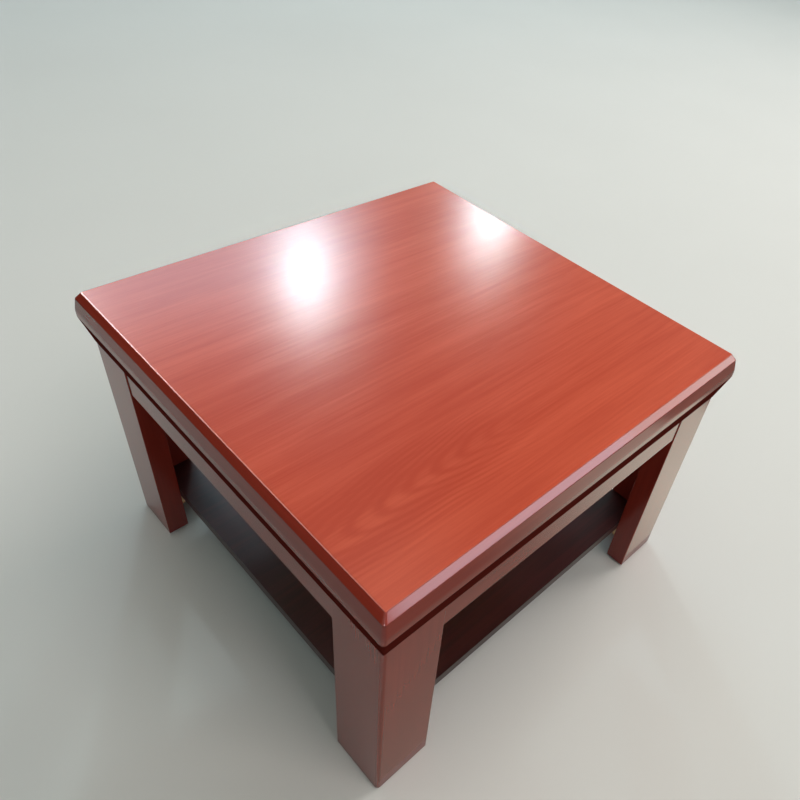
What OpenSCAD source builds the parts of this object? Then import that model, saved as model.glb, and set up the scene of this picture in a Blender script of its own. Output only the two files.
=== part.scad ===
// Square tea table: a veneered panel in a mitred edge moulding, four legs of two mitred boards
// each, four thin aprons and an open shelf. Lengths are in millimetres.
// The floor is at z = 0, the table's middle at x = y = 0, and its front faces -Y.

/* [Overall] */
// Width across the edge mouldings, the same both ways
table_w = 700; // [600:5:900]
// Height from the floor to the top
table_h = 465; // [400:1:560]
// Number of facets on each round piece
$fn = 48; // [24:8:96]

/* [Top] */
// Thickness of the core panel
panel_t = 18; // [15:1:22]
// Thickness of the face veneer and of the balancing veneer under the panel
veneer_t = 0.6; // [0.5:0.1:1.2]
// Width of a batten under the panel
batten_w = 50; // [36:1:70]
// Height of a batten
batten_h = 40; // [30:1:43]
// Distance from the table's middle to each batten's middle
batten_y = 130; // [60:5:160]
// Distance between the screws along a batten
batten_screw_spacing = 220; // [120:10:240]

/* [Edge moulding] */
// Height of the moulding
edge_h = 87; // [80:1:100]
// How far the face stands out past the flat top
edge_out = 12; // [10:0.5:16]
// Thickness of the moulding behind the line of the flat top
edge_inner = 35; // [30:1:40]
// Width of the flat lip outside the veneer
lip_w = 1.6; // [1.5:0.1:4]
// Width of the sloping shoulder under the arris
shoulder_w = 8.2; // [6:0.2:9]
// Height of the shoulder
shoulder_h = 10.3; // [8:0.1:14]
// Height of the undercut, from the moulding's bottom
undercut_h = 46; // [36:1:50]
// Height of the upright part of the face, from the moulding's bottom
widest_h = 57; // [54:1:64]
// Radius of the arris at the flat top
arris_r = 3; // [1:0.5:4]
// Radius where the shoulder meets the face
crease_r = 12; // [4:1:16]
// Radius where the face turns upright
widest_r = 40; // [20:5:60]
// Radius where the undercut starts
undercut_r = 12; // [4:1:16]
// Radius of the moulding's four outer corners at the flat top, seen from above
corner_top_r = 2; // [1:0.5:5]
// Radius of the same corners where the face is widest
corner_face_r = 5.5; // [5:0.5:9]

/* [Mitre biscuits] */
// Length of a biscuit, along the mitre
biscuit_l = 44; // [30:1:46]
// Width of a biscuit, across the mitre
biscuit_w = 15; // [10:1:18]
// Thickness of a biscuit
biscuit_t = 4; // [3:0.5:5]
// Height of the lower biscuit above the moulding's bottom
biscuit_low = 22; // [18:1:26]
// Height of the upper biscuit above the moulding's bottom
biscuit_high = 48; // [40:1:54]

/* [Corner gussets] */
// Length of a gusset along each moulding
gusset_w = 110; // [90:5:140]
// Thickness of a gusset
gusset_t = 25; // [22:1:26]

/* [Legs] */
// Width of a leg, each way
leg_w = 92; // [84:1:110]
// Thickness of a leg's boards
leg_t = 35; // [30:1:38]
// Radius of a leg's outer corner
leg_corner_r = 6; // [3:0.5:10]
// Radius of the small arrises of the leg boards and aprons
ease_r = 1.2; // [0.5:0.1:2]
// Length of the spline in a leg's mitre
spline_l = 300; // [200:10:340]
// Width of the spline, across the mitre
spline_w = 16; // [12:1:20]
// Thickness of the spline
spline_t = 4; // [3:0.5:6]
// Distance from a leg's outer faces to the spline's middle
spline_in = 20; // [18:0.5:22]

/* [Aprons] */
// Height of an apron
apron_h = 43; // [38:1:60]
// Thickness of an apron
apron_t = 25; // [20:1:30]
// How far an apron is set back from the leg's face
apron_inset = 1.5; // [0.5:0.5:4]
// Diameter of the dowels between aprons and legs
dowel_d = 8; // [6:1:10]
// Length of a dowel
dowel_l = 40; // [30:2:40]
// Distance between the two dowels of a joint
dowel_spacing = 22; // [18:1:24]
// Height of the bevel on a dowel's ends
dowel_bevel = 1; // [0.5:0.1:2]

/* [Shelf] */
// Height of the shelf's underside above the floor
shelf_z = 78; // [60:1:150]
// Thickness of the shelf
shelf_t = 18; // [15:1:25]
// Thickness of the bands on the shelf's edges
band_t = 1; // [0.6:0.1:2]

/* [Corner blocks] */
// Height of the block between a leg and the top
block_h = 40; // [34:1:42]
// Height of the block under a corner of the shelf
shelf_block_h = 20; // [18:1:30]
// How far a block stays short of the leg board's free edge
block_short = 2; // [1:0.5:6]
// Width of the cut-off ends of a block or gusset
block_tip = 4; // [2:1:6]

/* [Screws] */
// Diameter of the wood screws
screw_d = 4.5; // [4:0.1:5]
// Diameter of their heads
screw_head_d = 8.5; // [8:0.1:9.5]
// Depth that a screw reaches into a leg board
leg_bite = 25; // [18:1:27]
// Depth that a screw reaches into a gusset
gusset_bite = 18; // [12:1:20]
// Depth that a screw reaches into the core panel
panel_bite = 9; // [7:1:12]
// Depth that a screw reaches into the shelf
shelf_bite = 12; // [8:1:13]
// Depth of block left under the head of a screw into a leg board
screw_seat = 10; // [8:1:14]
// Distance of such a screw from the end of its block
screw_end = 20; // [19:1:24]
// Distance of the upright screws from the leg boards, each way
upright_in = 14; // [12:0.5:16]

/* [Glides] */
// Diameter of a glide
glide_d = 22; // [16:1:28]
// Thickness of a glide
glide_t = 3; // [2:0.5:5]
// Distance from a leg's outer corner to a glide's middle
glide_in = 60; // [40:1:70]
// Width of the bevel round a glide's underside
glide_bevel = 0.6; // [0.2:0.1:1]
// Diameter of a glide's nail
nail_d = 2.2; // [1.8:0.1:3]
// Length of the nail
nail_l = 18; // [12:1:24]
// Diameter of the nail's head
nail_head_d = 5.4; // [5:0.1:8]
// Thickness of the nail's head
nail_head_t = 1; // [0.8:0.1:1.2]
// How far the nail's head sits above the glide's underside
nail_sunk = 0.4; // [0.3:0.1:0.6]

/* [Fits] */
// Clearance of a piece that slips in between others
slip = 0.2; // [0.1:0.05:0.4]
// Clearance round a dowel, screw, nail, spline or biscuit
hug = 0.1; // [0.05:0.05:0.2]

/* [Hidden] */

// Left and right, front and rear, and the sides in the order in which a quarter turn takes them
LEFT = false;
RIGHT = true;
FRONT = false;
REAR = true;
FRONT_SIDE = 0;
RIGHT_SIDE = 1;
REAR_SIDE = 2;
LEFT_SIDE = 3;

// How far a cut runs past what it cuts, and a length that runs right past the table
over = 1;
far = 2 * table_w;

// Half the flat top, which is also the distance from the middle to the legs' outer faces
half_top = table_w / 2 - edge_out;
frame_z = table_h - edge_h;
panel_z = table_h - veneer_t - panel_t;
ledge_z = panel_z - veneer_t;
panel_half = half_top - lip_w;
apron_z = frame_z - apron_h;
apron_l = 2 * (half_top - leg_w);
leg_l = frame_z - glide_t;
shelf_half = half_top - leg_t - slip;
block_side = leg_w - leg_t - block_short;
top_block_z = frame_z - block_h;
shelf_block_z = shelf_z - shelf_block_h;

batten_screw_l = batten_h + veneer_t + panel_bite;
leg_screw_l = screw_seat + leg_bite;
top_screw_l = block_h + gusset_bite;
shelf_screw_l = shelf_block_h + shelf_bite;

// The biscuits lie midway between the moulding's inner face and its undercut face
mitre_out = edge_out * (biscuit_low - biscuit_t / 2) / undercut_h;
biscuit_middle = (edge_inner - mitre_out) / sqrt(2);

// Turn of each step of a rounded outline, and of each step round a corner of the moulding
arc_step = 5;
corner_angles = [22.5, 45];
biscuit_steps = 96;

lacquer = [0.47, 0.13, 0.09];
dark_lacquer = [0.24, 0.08, 0.08];
mahogany_veneer = [0.74, 0.31, 0.22];
plain_veneer = [0.58, 0.40, 0.27];
fibreboard = [0.66, 0.52, 0.37];
softwood = [0.80, 0.66, 0.46];
beech = [0.83, 0.68, 0.50];
zinc = [0.75, 0.73, 0.66];
black_plastic = [0.10, 0.10, 0.10];

// Unit vector along v
function unit(v) = v / norm(v);

// Points that round the corner p between a and b with radius r, kept to half of each side
function rounded(a, p, b, r) =
    let (
        u = unit(a - p),
        v = unit(b - p),
        half_angle = acos(u * v) / 2,
        reach = min(r / tan(half_angle), norm(a - p) / 2, norm(b - p) / 2),
        fillet_r = reach * tan(half_angle),
        middle = p + unit(u + v) * reach / cos(half_angle),
        steps = ceil((180 - 2 * half_angle) / arc_step)
    )
    [
        for (i = [0:steps])
            let (chord = p + (u * (steps - i) + v * i) * reach / steps)
            middle + fillet_r * unit(chord - middle)
    ];

// The moulding's face, from two lips inside the flat top's edge down to the bottom. In a
// corner, x is the distance out from that edge and y the height above the moulding's bottom.
face_corners = [
    [-2 * lip_w, edge_h],
    [0, edge_h],
    [shoulder_w, edge_h - shoulder_h],
    [edge_out, widest_h],
    [edge_out, undercut_h],
    [0, 0]
];
face_radii = [arris_r, crease_r, widest_r, undercut_r];
face_points = [
    [-lip_w, edge_h],
    for (i = [0:len(face_radii) - 1])
        each rounded(face_corners[i], face_corners[i + 1], face_corners[i + 2], face_radii[i]),
    [0, 0]
];

// Radius of the moulding's outer corner at a point of its face
function corner_r(p) =
    corner_top_r + (corner_face_r - corner_top_r) * max(p.x, 0) / edge_out;

// Turns what is drawn for the front to the side with that number
module at_side(side) {
    rotate([0, 0, 90 * side]) children();
}

// Mirrors what is drawn for the front left to the right, the rear or both
module mirrored(across, along) {
    mirror([across ? 1 : 0, 0, 0]) mirror([0, along ? 1 : 0, 0]) children();
}

// Places what is drawn from a leg's outer corner, with x and y running inwards, at that corner
module at_corner(across, along) {
    mirrored(across, along) translate([-half_top, -half_top, 0]) children();
}

module at_corners() {
    for (across = [LEFT, RIGHT], along = [FRONT, REAR]) at_corner(across, along) children();
}

// Draws something for a corner's front or rear board, and again for its side board
module both_boards() {
    children();
    swap_boards() children();
}

module swap_boards() {
    mirror([1, -1, 0]) children();
}

// Rectangle with small rounded corners
module eased_square(size, r) {
    translate([r, 0]) square([size.x - 2 * r, size.y]);
    translate([0, r]) square([size.x, size.y - 2 * r]);
    for (x = [r, size.x - r], y = [r, size.y - r]) translate([x, y]) circle(r);
}

// Triangle that fills a corner, with its two sharp ends cut off
module corner_plan(side) {
    polygon([[0, 0], [side, 0], [side, block_tip], [block_tip, side], [0, side]]);
}

// Countersunk wood screw, with its head at z = 0 and its point up
module screw(length) {
    head_r = screw_head_d / 2;
    shank_r = screw_d / 2;
    rotate_extrude()
        polygon([
            [0, 0], [head_r, 0], [shank_r, head_r - shank_r],
            [shank_r, length - screw_d], [0, length]
        ]);
}

// The hole that the screw fits, with a well of that depth below its head
module screw_hole(length, well = over) {
    head_r = screw_head_d / 2 + hug;
    shank_r = screw_d / 2 + hug;
    rotate_extrude()
        polygon([
            [0, -well], [head_r, -well], [head_r, 0], [shank_r, head_r - shank_r],
            [shank_r, length + hug], [0, length + hug]
        ]);
}

// Top panel

module veneer_sheet(z) {
    translate([-panel_half, -panel_half, z]) cube([2 * panel_half, 2 * panel_half, veneer_t]);
}

module top_veneer() {
    color(mahogany_veneer) veneer_sheet(table_h - veneer_t);
}

module top_panel() {
    color(fibreboard)
        difference() {
            translate([-panel_half, -panel_half, panel_z])
                cube([2 * panel_half, 2 * panel_half, panel_t]);
            at_batten_screws() screw_hole(batten_screw_l);
        }
}

module balancing_veneer() {
    color(plain_veneer)
        difference() {
            veneer_sheet(ledge_z);
            at_batten_screws() screw_hole(batten_screw_l);
        }
}

// Battens that keep the panel flat

module at_batten_screws() {
    for (along = [FRONT, REAR], step = [-1:1])
        mirrored(false, along)
            translate([step * batten_screw_spacing, -batten_y, ledge_z - batten_h])
                children();
}

module batten(along) {
    half_l = half_top - edge_inner - slip;
    color(softwood)
        difference() {
            mirrored(false, along)
                translate([-half_l, -batten_y - batten_w / 2, ledge_z - batten_h])
                    cube([2 * half_l, batten_w, batten_h]);
            at_batten_screws() screw_hole(batten_screw_l);
        }
}

module batten_screws() {
    color(zinc) at_batten_screws() screw(batten_screw_l);
}

// Edge moulding and what stiffens its mitres

// Bar with the moulding's section, along the front and longer than the table
module moulding_bar() {
    rebate_y = ledge_z - frame_z;
    translate([0, -half_top, 0])
        rotate([90, 0, -90])
            linear_extrude(far, center = true)
                polygon(concat(
                    face_points,
                    [[-edge_inner, 0], [-edge_inner, rebate_y], [-lip_w, rebate_y]]
                ));
}

// Plan of the part of the table that belongs to the front, between the two mitres
module mitre_wedge() {
    translate([0, 0, -over])
        linear_extrude(edge_h + 2 * over)
            polygon([[0, 0], [-far, -far], [far, -far]]);
}

// What lies inside one facet of the moulding's rounded corners, where the facet faces +X. Turned
// by the angle, it faces that far off square.
module corner_trim(angle) {
    spread = cos(angle) + sin(angle);
    trim = [for (p = face_points) [(half_top + p.x - corner_r(p)) * spread + corner_r(p), p.y]];
    rotate([90, 0, 0])
        linear_extrude(far, center = true)
            polygon(concat(
                [[-far, edge_h + over], [trim[0].x, edge_h + over]],
                trim,
                [[trim[len(trim) - 1].x, -over], [-far, -over]]
            ));
}

module edge_moulding(side) {
    color(lacquer)
        at_side(side)
            difference() {
                translate([0, 0, frame_z])
                    intersection() {
                        moulding_bar();
                        mitre_wedge();
                        intersection_for(angle = corner_angles)
                            rotate([0, 0, -90 - angle]) corner_trim(angle);
                        intersection_for(angle = corner_angles)
                            rotate([0, 0, -90 + angle]) corner_trim(angle);
                    }
                for (across = [LEFT, RIGHT]) at_corner(across, FRONT) corner_biscuits(hug);
            }
}

// Lens outline of a mitre biscuit, long along x
module biscuit_outline(grow) {
    length = biscuit_l + 2 * grow;
    width = biscuit_w + 2 * grow;
    r = (length * length + width * width) / (4 * width);
    intersection() {
        translate([0, r - width / 2]) circle(r, $fn = biscuit_steps);
        translate([0, width / 2 - r]) circle(r, $fn = biscuit_steps);
    }
}

// The two biscuits of a mitre, or their slots, drawn from the leg's outer corner
module corner_biscuits(grow) {
    for (height = [biscuit_low, biscuit_high])
        rotate([0, 0, 45])
            translate([biscuit_middle, 0, frame_z + height - biscuit_t / 2 - grow])
                linear_extrude(biscuit_t + 2 * grow)
                    biscuit_outline(grow);
}

module mitre_biscuits() {
    color(beech) at_corners() corner_biscuits(0);
}

module gusset(across, along) {
    color(fibreboard)
        at_corner(across, along)
            difference() {
                translate([edge_inner, edge_inner, frame_z])
                    linear_extrude(gusset_t) corner_plan(gusset_w);
                at_upright(top_block_z) screw_hole(top_screw_l);
            }
}

// Legs

module at_leg_screws(z) {
    both_boards()
        translate([leg_t + screw_seat, leg_t + block_side - screw_end, z])
            rotate([0, -90, 0])
                children();
}

module at_dowels() {
    both_boards()
        for (step = [-0.5, 0.5])
            translate([
                leg_w, apron_inset + apron_t / 2, apron_z + apron_h / 2 + step * dowel_spacing
            ])
                rotate([0, 90, 0])
                    children();
}

module dowel_hole() {
    cylinder(h = dowel_l + 2 * hug, d = dowel_d + 2 * hug, center = true);
}

module at_glides() {
    both_boards() translate([glide_in, leg_t / 2, 0]) children();
}

module spline(grow) {
    translate([spline_in, spline_in, glide_t + (leg_l - spline_l) / 2 - grow])
        rotate([0, 0, 45])
            linear_extrude(spline_l + 2 * grow)
                square([spline_t + 2 * grow, spline_w + 2 * grow], center = true);
}

// Plan of a leg's front or rear board, mitred at the leg's outer corner
module leg_board_plan() {
    intersection() {
        polygon([[-over, -over], [leg_w + over, -over], [leg_w + over, leg_w + over]]);
        translate([-leg_t, 0]) eased_square([leg_w + leg_t, leg_t], ease_r);
        union() {
            translate([leg_corner_r, 0]) square(leg_w);
            translate([0, leg_corner_r]) square(leg_w);
            translate([leg_corner_r, leg_corner_r]) circle(leg_corner_r);
        }
    }
}

module leg_board() {
    difference() {
        translate([0, 0, glide_t]) linear_extrude(leg_l) leg_board_plan();
        spline(hug);
        at_dowels() dowel_hole();
        at_leg_screws(top_block_z + block_h / 2) screw_hole(leg_screw_l);
        at_leg_screws(shelf_block_z + shelf_block_h / 2) screw_hole(leg_screw_l);
        at_glides() nail_hole();
    }
}

module leg_face(across, along) {
    color(lacquer) at_corner(across, along) leg_board();
}

module leg_side(across, along) {
    color(lacquer) at_corner(across, along) swap_boards() leg_board();
}

module leg_splines() {
    color(beech) at_corners() spline(0);
}

// Aprons

module apron(side) {
    color(lacquer)
        at_side(side)
            difference() {
                translate([-apron_l / 2, apron_inset - half_top, apron_z])
                    rotate([90, 0, 90])
                        linear_extrude(apron_l)
                            eased_square([apron_t, apron_h], ease_r);
                for (across = [LEFT, RIGHT]) at_corner(across, FRONT) at_dowels() dowel_hole();
            }
}

module apron_dowels() {
    half_l = dowel_l / 2;
    end_r = dowel_d / 2 - dowel_bevel;
    color(beech)
        at_corners() at_dowels()
            rotate_extrude()
                polygon([
                    [0, -half_l], [end_r, -half_l], [dowel_d / 2, dowel_bevel - half_l],
                    [dowel_d / 2, half_l - dowel_bevel], [end_r, half_l], [0, half_l]
                ]);
}

// Blocks in the inner corners of the legs, under the top and under the shelf

module at_upright(z) {
    translate([leg_t + upright_in, leg_t + upright_in, z]) children();
}

module corner_block(z, height, upright_l) {
    color(softwood)
        difference() {
            translate([leg_t, leg_t, z]) linear_extrude(height) corner_plan(block_side);
            at_leg_screws(z + height / 2) screw_hole(leg_screw_l, block_side);
            at_upright(z) screw_hole(upright_l);
        }
}

module top_block(across, along) {
    at_corner(across, along) corner_block(top_block_z, block_h, top_screw_l);
}

module shelf_block(across, along) {
    at_corner(across, along) corner_block(shelf_block_z, shelf_block_h, shelf_screw_l);
}

module block_screws() {
    color(zinc) at_corners() at_leg_screws(top_block_z + block_h / 2) screw(leg_screw_l);
}

module top_screws() {
    color(zinc) at_corners() at_upright(top_block_z) screw(top_screw_l);
}

module shelf_block_screws() {
    color(zinc)
        at_corners() at_leg_screws(shelf_block_z + shelf_block_h / 2) screw(leg_screw_l);
}

module shelf_screws() {
    color(zinc) at_corners() at_upright(shelf_block_z) screw(shelf_screw_l);
}

// Shelf

module shelf() {
    core_half = shelf_half - band_t;
    color(dark_lacquer)
        difference() {
            translate([-core_half, -core_half, shelf_z])
                cube([2 * core_half, 2 * core_half, shelf_t]);
            at_corners() at_upright(shelf_block_z) screw_hole(shelf_screw_l);
        }
}

// Band on one edge of the shelf. Each band covers the end of the next one.
module shelf_band(side) {
    color(dark_lacquer)
        at_side(side)
            translate([-shelf_half, -shelf_half, shelf_z])
                cube([2 * shelf_half - band_t, band_t, shelf_t]);
}

// Glides

module glides() {
    pad_r = glide_d / 2;
    hole_r = nail_d / 2 + hug;
    recess_r = nail_head_d / 2 + hug;
    recess_z = nail_sunk + nail_head_t;
    color(black_plastic)
        at_corners() at_glides()
            rotate_extrude()
                polygon([
                    [hole_r, glide_t], [pad_r, glide_t], [pad_r, glide_bevel],
                    [pad_r - glide_bevel, 0], [recess_r, 0], [recess_r, recess_z],
                    [hole_r, recess_z]
                ]);
}

module nail_hole() {
    cylinder(h = nail_sunk + nail_l + hug, d = nail_d + 2 * hug);
}

module glide_nails() {
    nail_r = nail_d / 2;
    head_r = nail_head_d / 2;
    head_top = nail_sunk + nail_head_t;
    tip_z = nail_sunk + nail_l;
    color(zinc)
        at_corners() at_glides()
            rotate_extrude()
                polygon([
                    [0, nail_sunk], [head_r, nail_sunk], [head_r, head_top], [nail_r, head_top],
                    [nail_r, tip_z - nail_d], [0, tip_z]
                ]);
}

top_veneer();
top_panel();
balancing_veneer();
batten(FRONT);  // batten_front
batten(REAR);  // batten_rear
batten_screws();
edge_moulding(FRONT_SIDE);  // edge_front
edge_moulding(RIGHT_SIDE);  // edge_right
edge_moulding(REAR_SIDE);  // edge_rear
edge_moulding(LEFT_SIDE);  // edge_left
mitre_biscuits();
gusset(LEFT, FRONT);  // gusset_front_left
gusset(RIGHT, FRONT);  // gusset_front_right
gusset(LEFT, REAR);  // gusset_rear_left
gusset(RIGHT, REAR);  // gusset_rear_right
leg_face(LEFT, FRONT);  // leg_front_left_face
leg_side(LEFT, FRONT);  // leg_front_left_side
leg_face(RIGHT, FRONT);  // leg_front_right_face
leg_side(RIGHT, FRONT);  // leg_front_right_side
leg_face(LEFT, REAR);  // leg_rear_left_face
leg_side(LEFT, REAR);  // leg_rear_left_side
leg_face(RIGHT, REAR);  // leg_rear_right_face
leg_side(RIGHT, REAR);  // leg_rear_right_side
leg_splines();
apron(FRONT_SIDE);  // apron_front
apron(RIGHT_SIDE);  // apron_right
apron(REAR_SIDE);  // apron_rear
apron(LEFT_SIDE);  // apron_left
apron_dowels();
top_block(LEFT, FRONT);  // block_front_left
top_block(RIGHT, FRONT);  // block_front_right
top_block(LEFT, REAR);  // block_rear_left
top_block(RIGHT, REAR);  // block_rear_right
block_screws();
top_screws();
shelf();
shelf_band(FRONT_SIDE);  // shelf_band_front
shelf_band(RIGHT_SIDE);  // shelf_band_right
shelf_band(REAR_SIDE);  // shelf_band_rear
shelf_band(LEFT_SIDE);  // shelf_band_left
shelf_block(LEFT, FRONT);  // shelf_block_front_left
shelf_block(RIGHT, FRONT);  // shelf_block_front_right
shelf_block(LEFT, REAR);  // shelf_block_rear_left
shelf_block(RIGHT, REAR);  // shelf_block_rear_right
shelf_block_screws();
shelf_screws();
glides();
glide_nails();
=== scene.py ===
# Square tea table in glossy red lacquer, dressed around its solids. Lengths are in metres: +Z is
# up, the floor is at z = 0, the table's middle at x = y = 0, and its front faces -Y.
import math

import bmesh
import bpy
from mathutils import Matrix, Vector


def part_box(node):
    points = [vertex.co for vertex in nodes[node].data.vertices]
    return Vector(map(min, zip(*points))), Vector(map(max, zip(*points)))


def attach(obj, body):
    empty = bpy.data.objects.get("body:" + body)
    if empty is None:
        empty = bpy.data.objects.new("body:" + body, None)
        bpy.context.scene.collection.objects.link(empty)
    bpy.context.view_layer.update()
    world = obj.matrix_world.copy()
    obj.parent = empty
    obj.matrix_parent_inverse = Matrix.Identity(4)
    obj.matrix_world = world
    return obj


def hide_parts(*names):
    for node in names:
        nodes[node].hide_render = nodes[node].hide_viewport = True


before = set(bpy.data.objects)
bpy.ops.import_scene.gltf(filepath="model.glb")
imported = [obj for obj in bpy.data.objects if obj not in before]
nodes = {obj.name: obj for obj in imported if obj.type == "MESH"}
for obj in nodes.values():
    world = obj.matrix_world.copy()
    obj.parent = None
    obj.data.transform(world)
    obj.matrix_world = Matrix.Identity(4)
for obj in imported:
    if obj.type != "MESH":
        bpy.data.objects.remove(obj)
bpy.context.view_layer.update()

# Core panel of the top
# The panel is raw fibreboard, sawn to size: pale brown with short darker fibres, matt all over.
# It lies in the moulding's rebate, and both its faces are veneered.


class Wire:
    """A node's output. Sums, products and powers of wires and numbers add Math nodes."""

    def __init__(self, bench, socket):
        self.bench = bench
        self.socket = socket

    def out(self, name):
        """Another output of the same node."""
        return Wire(self.bench, self.socket.node.outputs[name])

    def math(self, operation, *others, reflected=False):
        terms = [self, *others]
        if reflected:
            terms.reverse()
        return self.bench.add("ShaderNodeMath", {"operation": operation}, dict(enumerate(terms)))

    def __add__(self, other):
        return self.math("ADD", other)

    __radd__ = __add__

    def __sub__(self, other):
        return self.math("SUBTRACT", other)

    def __rsub__(self, other):
        return self.math("SUBTRACT", other, reflected=True)

    def __mul__(self, other):
        return self.math("MULTIPLY", other)

    __rmul__ = __mul__

    def __truediv__(self, other):
        return self.math("DIVIDE", other)

    def __pow__(self, other):
        return self.math("POWER", other)


class Bench:
    """A node tree being wired, for a finish or for a shape."""

    def __init__(self, tree):
        self.tree = tree

    def add(self, kind, settings=None, sockets=None, output=0):
        """Makes a node: its settings come first, then the values or wires of its sockets."""
        node = self.tree.nodes.new(kind)
        for name, value in (settings or {}).items():
            if name == "stops":
                self.set_stops(node.color_ramp.elements, value)
            elif name == "choices":
                while len(node.index_switch_items) < value:
                    node.index_switch_items.new()
            else:
                setattr(node, name, value)
        for key, value in (sockets or {}).items():
            if isinstance(value, Wire):
                self.tree.links.new(value.socket, node.inputs[key])
            else:
                node.inputs[key].default_value = value
        return Wire(self, node.outputs[output]) if len(node.outputs) else None

    def set_stops(self, elements, stops):
        while len(elements) < len(stops):
            elements.new(1.0)
        for element, (place, colour) in zip(elements, stops):
            element.position = place
            element.color = colour


def stain(red, green, blue):
    """A colour given as it looks on a screen, from 0 to 1, made linear for a socket."""
    parts = [c / 12.92 if c <= 0.04045 else ((c + 0.055) / 1.055) ** 2.4 for c in (red, green, blue)]
    return (*parts, 1.0)


class Finish(Bench):
    """A material being made, on the object's own coordinates."""

    def __init__(self, name):
        self.material = bpy.data.materials.new(name)
        self.material.use_nodes = True
        super().__init__(self.material.node_tree)
        self.tree.nodes.clear()

    def place(self, along="X"):
        """The point on the object, with its parts in such an order that `along` comes first."""
        point = self.add("ShaderNodeTexCoord", output="Object")
        parts = self.add("ShaderNodeSeparateXYZ", sockets={"Vector": point})
        order = {"X": "XYZ", "Y": "YXZ", "Z": "ZXY"}[along]
        return self.add("ShaderNodeCombineXYZ", sockets={i: parts.out(k) for i, k in enumerate(order)})

    def noise(self, place, per_metre, detail, roughness=0.5):
        """Noise from 0 to 1, with that many waves per metre along each part of the place."""
        spread = self.add("ShaderNodeMapping", sockets={"Vector": place, "Scale": per_metre})
        return self.add(
            "ShaderNodeTexNoise",
            sockets={"Vector": spread, "Scale": 1.0, "Detail": detail, "Roughness": roughness},
        )

    def blend(self, share, low, high):
        """A colour between two others."""
        return self.add(
            "ShaderNodeMix",
            {"data_type": "RGBA", "clamp_factor": True},
            {0: share, 6: low, 7: high},
            output=2,
        )

    def within(self, value, low, high):
        """0 below low, 1 above high, and smooth between."""
        return self.add(
            "ShaderNodeMapRange",
            {"interpolation_type": "SMOOTHSTEP"},
            {"Value": value, "From Min": low, "From Max": high},
        )

    def bump(self, height, depth):
        """A normal for a relief whose height runs from 0 to 1 and whose depth is in metres."""
        return self.add("ShaderNodeBump", sockets={"Height": height, "Distance": depth, "Strength": 1.0})

    def done(self, **surface):
        """Closes the material with a Principled surface; a name's underscores stand for spaces."""
        names = {name: name.replace("_", " ").title() for name in surface}
        names.update(ior="IOR", coat_ior="Coat IOR", specular_ior_level="Specular IOR Level")
        shader = self.add(
            "ShaderNodeBsdfPrincipled", sockets={names[name]: value for name, value in surface.items()}
        )
        self.add("ShaderNodeOutputMaterial", sockets={"Surface": shader})
        return self.material


def raw_fibreboard():
    finish = Finish("raw_fibreboard")
    place = finish.place()
    fibres = finish.noise(place, (420, 420, 900), detail=4, roughness=0.65)
    clouds = finish.noise(place, (14, 14, 60), detail=2)
    tone = finish.within(fibres * 0.7 + clouds * 0.3, 0.34, 0.66)
    return finish.done(
        base_color=finish.blend(tone, stain(0.55, 0.42, 0.29), stain(0.74, 0.61, 0.45)),
        roughness=0.86 - 0.1 * fibres,
        normal=finish.bump(fibres, 0.0002),
        specular_ior_level=0.3,
    )


def dress(node_names, material):
    """Gives solids that keep their own shape another finish."""
    for name in node_names:
        nodes[name].data.materials.clear()
        nodes[name].data.materials.append(material)


fibreboard = raw_fibreboard()
dress(["top_panel"], fibreboard)

# Balancing veneer under the panel
# A plain sheet of unstained veneer that keeps the panel from bowing. It is sanded but has no
# lacquer, so the pores stay open.


def raw_wood(name, along, early, late, rings, heart, pores=1.0):
    """Unfinished wood with its growth rings round a heart beside the piece."""
    finish = Finish(name)
    place = finish.place(along)
    drift = finish.noise(place, (3, 14, 14), detail=2)
    parts = finish.add("ShaderNodeSeparateXYZ", sockets={"Vector": place})
    across = parts.out("Y") - heart[0] + drift * 0.012
    depth = parts.out("Z") - heart[1] + parts.out("X") * 0.03
    ring = ((across * across + depth * depth) ** 0.5 * rings).math("FRACT")
    late_wood = finish.within(ring, 0.45, 0.95) - finish.within(ring, 0.95, 1.0)
    fibres = finish.noise(place, (60, 1500, 1500), detail=3, roughness=0.6)
    tone = late_wood * 0.65 + fibres * 0.4
    return finish.done(
        base_color=finish.blend(tone, stain(*early), stain(*late)),
        roughness=0.72 - 0.12 * late_wood,
        normal=finish.bump(fibres * pores + late_wood * 0.4, 0.00012),
        specular_ior_level=0.35,
    )


sheet_wood = raw_wood(
    "plain_veneer", "X", (0.70, 0.52, 0.37), (0.50, 0.33, 0.21), rings=180, heart=(0.06, 0.36)
)
dress(["balancing_veneer"], sheet_wood)

# Battens under the panel
# Two planed bars of softwood, screwed up through the balancing veneer to keep the panel flat.
# The growth rings show as wide pale bands with narrow darker lines.

bar_wood = raw_wood(
    "softwood_bar", "X", (0.86, 0.74, 0.55), (0.70, 0.52, 0.32), rings=330, heart=(0.02, 0.36)
)
dress(["batten_front", "batten_rear"], bar_wood)

# Screws of the battens
# Zinc-plated countersunk wood screws with a cross recess, driven up through the battens. A
# screw turns in until it is tight, so each recess stops at its own angle.

SHANK_D = 0.0045
HEAD_D = 0.0085
THREAD_PITCH = 0.0021
THREAD_DEPTH = 0.00055
RECESS_L = 0.0044
RECESS_W = 0.0011
RECESS_DEPTH = 0.0021
TIP_TAPER = 0.5
TIP_R = 0.0001
RINGS_PER_TURN = 4
SCREW_SIDES = 14
BATTEN_SCREW_STEP = 0.220
UP = Vector((0, 0, 1))


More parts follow.
